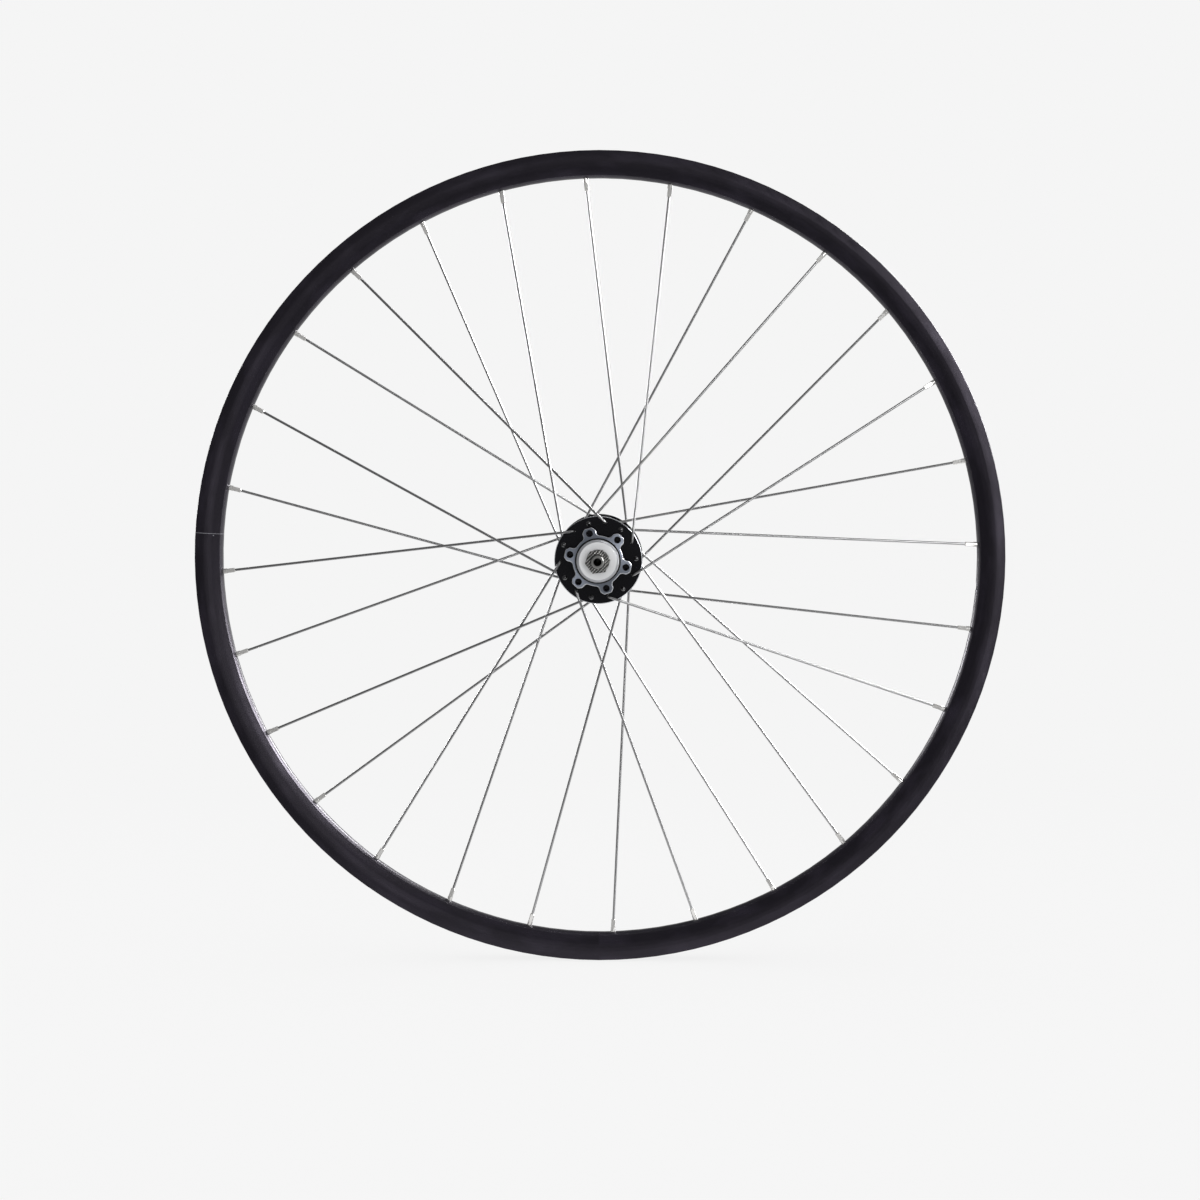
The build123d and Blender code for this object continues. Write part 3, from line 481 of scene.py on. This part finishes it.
def make_piece(name, points, faces, material, body, replaced):
    """A mesh that stands for a CAD node."""
    sharp_edge = radians(32)
    mesh = bpy.data.meshes.new(name)
    mesh.from_pydata(points, [], faces)
    mesh.validate()
    mesh.materials.append(material)
    piece = bpy.data.objects.new(name, mesh)
    bpy.context.scene.collection.objects.link(piece)
    mesh.polygons.foreach_set("use_smooth", [True] * len(mesh.polygons))
    mesh.set_sharp_from_angle(angle=sharp_edge)
    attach(piece, body)
    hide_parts(replaced)


def spin(section, segments):
    """Points and faces of a closed section that runs round the axle. section(turn)
    gives its (radius, y) points at a clock angle in radians."""
    points, faces = [], []
    for n in range(segments):
        turn = 2 * pi * n / segments
        points += [(r * sin(turn), y, r * cos(turn)) for r, y in section(turn)]
    count = len(points) // segments
    for n in range(segments):
        here, there = n * count, (n + 1) % segments * count
        for k in range(count):
            after = (k + 1) % count
            faces.append((here + k, there + k, there + after, here + after))
    return points, faces


def zigzag(value):
    """0 at whole numbers, 1 halfway between them."""
    return 1 - abs(2 * (value - floor(value)) - 1)


def flipped(faces):
    return [tuple(reversed(face)) for face in faces]


def locknut_reach(turn):
    """How far the hexagon reaches at a clock angle in radians."""
    sector = radians(60)
    off = (turn - radians(locknut_angle)) % sector - sector / 2
    return locknut_flats / 2 / cos(off)


def make_locknut(name, way, material):
    """A locknut with a diamond knurl on the face that grips the dropout."""
    corner = locknut_flats / 2 / cos(radians(30))
    cone_start = corner - 2 * locknut_chamfer
    knurl_start = axle_radius + 0.35 * mm
    rows = 22
    mouth_drop, mouth_depth = 0.15 * mm, 0.5 * mm
    front = locknut_face
    back = locknut_face - locknut_thickness

    def section(turn):
        reach = locknut_reach(turn)
        edge = min(reach, cone_start)
        drop = (reach - edge) / 2
        bore = [(locknut_bore, back), (locknut_bore, front - mouth_depth)]
        face = [(axle_radius, front - mouth_drop)]
        for k in range(rows + 1):
            r = knurl_start + (edge - knurl_start) * k / rows
            x, z = r * sin(turn), r * cos(turn)
            ridge = zigzag((x - z) / knurl_step) * knurl_ridge_share
            cross = zigzag((x + z) / knurl_step) * (1 - knurl_ridge_share)
            fade = min(1.0, k / 2, (rows - k) / 2)
            face.append((r, front - knurl_depth * fade * (1 - ridge - cross)))
        sides = [(reach, front - drop), (reach, back + drop), (edge, back)]
        return [(r, way * y) for r, y in bore + face + sides]

    points, faces = spin(section, segments=360)
    if way < 0:
        faces = flipped(faces)
    make_piece(name + "_knurled", points, faces, material, "axle_group", name)


def make_axle(material):
    """The axle with its thread cut on both ends."""
    step = 0.1 * mm
    stub_rows = int((axle_end - locknut_face) / step)
    waist_slope = 0.3 * mm

    def threaded(y, turn):
        """The (radius, y) of the thread at one place."""
        crest = axle_radius - max(0.0, axle_chamfer - (axle_end - abs(y)))
        groove = axle_thread_depth * (1 - zigzag(y / axle_thread_pitch + turn / (2 * pi)))
        return min(crest, axle_radius - groove), y

    def section(turn):
        left = [threaded(-axle_end + k * step, turn) for k in range(stub_rows + 1)]
        right = [threaded(locknut_face + k * step, turn) for k in range(stub_rows + 1)]
        shank = [
            (axle_thread_radius, -locknut_face + step),
            (axle_thread_radius, axle_left_nose),
            (axle_waist_radius, axle_left_nose + waist_slope),
            (axle_waist_radius, axle_right_nose - waist_slope),
            (axle_thread_radius, axle_right_nose),
            (axle_thread_radius, locknut_face - step),
        ]
        bore = [
            (axle_bore_radius + axle_chamfer / 2, axle_end),
            (axle_bore_radius, axle_end - axle_chamfer / 2),
            (axle_bore_radius, -axle_end + axle_chamfer / 2),
            (axle_bore_radius + axle_chamfer / 2, -axle_end),
        ]
        return left + shank + right + bore

    points, faces = spin(section, segments=96)
    faces = flipped(faces)
    make_piece("axle_threaded", points, faces, material, "axle_group", "axle")


def make_dust_cap(material):
    """The dust cap with the serrations pressed round its edge."""
    name = "left_dust_cap"
    pressed = [(0.06, 0.0), (0.14, 1.0), (0.86, 1.0), (0.94, 0.0)]  # share of the cone, depth
    press_inwards, press_down = 0.45, 0.9
    face_edge = 0.25 * mm
    t = cap_sheet

    def section(turn):
        notch = cap_serration_depth * (1 - zigzag(turn / (2 * pi) * cap_serrations))
        cone = []
        for share, depth in pressed:
            r = cap_radius + (cap_face_radius - cap_radius) * share
            y = cap_edge + (cap_face - cap_edge) * share
            cone.append((r - notch * depth * press_inwards, y - notch * depth * press_down))
        result = [
            (cap_radius - t, cap_back),
            (cap_radius, cap_back),
            (cap_radius, cap_edge),
            *cone,
            (cap_face_radius, cap_face),
            (cap_face_radius - face_edge, cap_face),
            (cap_hole_radius + cap_lip_width, cap_face),
            (cap_hole_radius + cap_lip_width * 0.3, cap_face - cap_lip_drop * 0.3),
            (cap_hole_radius, cap_face - cap_lip_drop),
            (cap_hole_radius, cap_face - cap_lip_drop - t),
            (cap_hole_radius + cap_lip_width, cap_face - t),
            (cap_face_radius - t * 0.4, cap_face - t),
            (cap_radius - t, cap_edge - t * 0.6),
        ]
        return [(r, -y) for r, y in result]

    points, faces = spin(section, segments=4 * cap_serrations)
    make_piece(name + "_pressed", points, faces, material, "wheel", name)


def dress():
    """Gives each CAD node its material and adds the detailed pieces."""
    looks = {
        "rim_black": rim_look(),
        "hub_black": hub_look(),
        "plain_alloy": plain_metal_look("sleeve_alloy", (0.70, 0.71, 0.72), 0.34),
        "spoke_steel": drawn_steel_look(),
        "nipple_nickel": plain_metal_look(
            "nipple_nickel_plated", (0.90, 0.89, 0.87), 0.16, metallic=0.65
        ),
        "axle_steel": axle_look(),
        "nut_steel": nut_look(),
        "hard_steel": bearing_look(),
        "ball_steel": plain_metal_look("ball_chrome", (0.66, 0.66, 0.67), 0.07, 0.03),
        "cap_steel": cap_look(),
        "freehub_steel": freehub_look(),
        "seal_rubber": rubber_look(),
    }
    for node in nodes.values():
        slot = node.data.materials[0].name.split(".")[0]
        node.data.materials[0] = looks[slot]
    make_locknut("left_locknut", -1, looks["nut_steel"])
    make_locknut("right_locknut", 1, looks["nut_steel"])
    make_axle(looks["axle_steel"])
    make_dust_cap(looks["cap_steel"])


# The stage

background = 0.913  # 245 grey, as light
floor_lit = 0.10  # the floor's own grey near the wheel, which takes the shadow
floor_light = 0.79  # the light that falls there
floor_lit_reach = (0.45, 1.1)  # the own grey fades out between these distances
floor_lit_squeeze = 0.8  # it reaches further to the sides
ambient = 0.88
dark_studio = 0.12  # what shines sees a studio this dark in front
floor_left_share = 0.3  # and its floor and walls this much dimmer at the left
world_left_share = 0.45
lit_ceiling = 0.4


def path_share(look):
    """1 for camera, glossy and transmission rays, which see the plain background."""
    path = look.make("ShaderNodeLightPath").outputs
    seen = look.math("MAXIMUM", path["Is Camera Ray"], path["Is Glossy Ray"])
    return look.math("MAXIMUM", seen, path["Is Transmission Ray"])


def in_shine(look, plain, shown):
    """The plain value, and for glossy rays alone the shown one."""
    path = look.make("ShaderNodeLightPath").outputs
    shines = look.both(path["Is Glossy Ray"], look.without(path["Is Camera Ray"]))
    return look.math("ADD", look.both(plain, look.without(shines)), look.both(shown, shines))


def stage_look():
    """A pale floor that renders as the plain background and keeps a soft shadow."""
    look = Look("stage_pale")
    look.tree.nodes.remove(look.shader)
    away = look.length(look.math("MULTIPLY", look.x, floor_lit_squeeze), look.y)
    far = look.ramp(away, *floor_lit_reach)
    grey = look.blend(far, floor_lit, 0.0)
    seen = look.blend(far, background - floor_lit * floor_light, background)
    front = look.ramp(look.y, -0.35, -0.1, dark_studio, background)
    shown = look.both(front, look.ramp(look.x, -0.9, 0.3, floor_left_share, 1.0))

    lit = look.make("ShaderNodeBsdfDiffuse")
    glow = look.make("ShaderNodeEmission")
    plain = look.make("ShaderNodeBsdfDiffuse")
    added = look.make("ShaderNodeAddShader")
    mixed = look.make("ShaderNodeMixShader")
    output = look.tree.nodes["Material Output"]
    for socket, value in (
        (lit.inputs["Color"], look.vector(grey, grey, grey)),
        (glow.inputs["Color"], (1.0, 1.0, 1.0)),
        (glow.inputs["Strength"], in_shine(look, seen, shown)),
        (plain.inputs["Color"], (0.8, 0.8, 0.8)),
        (added.inputs[0], lit.outputs[0]),
        (added.inputs[1], glow.outputs[0]),
        (mixed.inputs[0], path_share(look)),
        (mixed.inputs[1], plain.outputs[0]),
        (mixed.inputs[2], added.outputs[0]),
        (output.inputs["Surface"], mixed.outputs[0]),
    ):
        look.put(socket, value)
    return look.material


def make_stage():
    """A floor under the wheel that curves up into a backdrop behind it."""
    level = -rim_radius - 0.3 * mm
    half_width, near_edge, bend_start, bend, top = 9.0, -1.8, 3.5, 1.5, 2.2
    bend_steps = 24
    line = [(near_edge, level), (0.0, level), (2.0, level)]
    for k in range(bend_steps + 1):
        turn = radians(90 * k / bend_steps)
        line.append((bend_start + bend * sin(turn), level + bend * (1 - cos(turn))))
    line.append((bend_start + bend, top))
    points = [(side * half_width, y, z) for y, z in line for side in (-1, 1)]
    faces = [(2 * k, 2 * k + 1, 2 * k + 3, 2 * k + 2) for k in range(len(line) - 1)]
    mesh = bpy.data.meshes.new("stage_floor")
    mesh.from_pydata(points, [], faces)
    mesh.materials.append(stage_look())
    mesh.polygons.foreach_set("use_smooth", [True] * len(mesh.polygons))
    floor_piece = bpy.data.objects.new("stage_floor", mesh)
    bpy.context.scene.collection.objects.link(floor_piece)


def make_world():
    """Even light; what shines shows a pale studio behind and a dark one in front and above."""
    world = bpy.data.worlds.new("studio")
    world.use_nodes = True
    bpy.context.scene.world = world
    sky = Nodes(world.node_tree)
    shader = sky.tree.nodes["Background"]
    x, y, z = sky.split(sky.make("ShaderNodeTexCoord").outputs["Generated"])
    behind = sky.ramp(y, -0.35, 0.15)
    below = sky.ramp(z, 0.6, 0.25)
    right = sky.ramp(x, -0.25, 0.1, world_left_share, 1.0)
    around = sky.blend(sky.both(behind, below, right), dark_studio, background)
    shown = sky.math("MAXIMUM", around, sky.ramp(z, 0.86, 0.96, 0.0, lit_ceiling))
    plain = sky.blend(path_share(sky), ambient, background)
    sky.put(shader.inputs["Color"], (1.0, 1.0, 1.0))
    sky.put(shader.inputs["Strength"], in_shine(sky, plain, shown))


def soft_light(name, place, aim, size, power, shine_only=False):
    """A soft box that faces a point, and may show in what shines alone."""
    lamp = bpy.data.lights.new(name, "AREA")
    lamp.shape = "RECTANGLE"
    lamp.size, lamp.size_y = size
    lamp.energy = power
    holder = bpy.data.objects.new(name, lamp)
    bpy.context.scene.collection.objects.link(holder)
    holder.location = place
    holder.visible_camera = False
    holder.visible_diffuse = not shine_only
    way = Vector(aim) - Vector(place)
    holder.rotation_euler = way.to_track_quat("-Z", "Y").to_euler()


def make_lights():
    hub = (0, 0, 0)
    soft_light("key", (0.59, -2.55, 0.27), hub, (0.4, 0.5), 4)
    soft_light("key_low", (0.95, -2.3, -0.05), hub, (0.4, 0.4), 2)
    soft_light("near_key", (0.53, -0.60, 0.28), (0.28, 0, 0.14), (0.2, 0.3), 1.3, shine_only=True)
    soft_light("right_side", (2.0, 0.6, 1.0), hub, (0.8, 1.2), 112, shine_only=True)
    soft_light("right_back", (1.25, 2.0, 0.95), hub, (0.4, 1.2), 45, shine_only=True)
    soft_light("left_back", (-1.44, 1.9, 0.31), hub, (0.4, 0.5), 14, shine_only=True)


# The camera, fitted to the photograph

camera_distance = 2.2
camera_tilt = 3.45
camera_yaw = 1.1
camera_roll = -0.030
camera_aim = (0.58 * mm, 0.0, -33.1 * mm)
focal_pixels = 2797.8
image_pixels = 1200


def make_camera():
    lens = bpy.data.cameras.new("camera")
    lens.sensor_width = 36.0
    lens.lens = focal_pixels / image_pixels * lens.sensor_width
    lens.clip_end = 50.0
    holder = bpy.data.objects.new("camera", lens)
    bpy.context.scene.collection.objects.link(holder)
    tilt, yaw = radians(camera_tilt), radians(camera_yaw)
    back = Vector((sin(yaw) * cos(tilt), -cos(yaw) * cos(tilt), sin(tilt)))
    right = Vector((cos(yaw), sin(yaw), 0))
    up = back.cross(right)
    turn = Matrix((right, up, back)).transposed().to_4x4()
    roll = Matrix.Rotation(radians(camera_roll), 4, "Z")
    place = Vector(camera_aim) + back * camera_distance
    holder.matrix_world = Matrix.Translation(place) @ turn @ roll
    bpy.context.scene.camera = holder


dress()
make_stage()
make_world()
make_lights()
make_camera()
bpy.context.scene.view_settings.view_transform = "Standard"
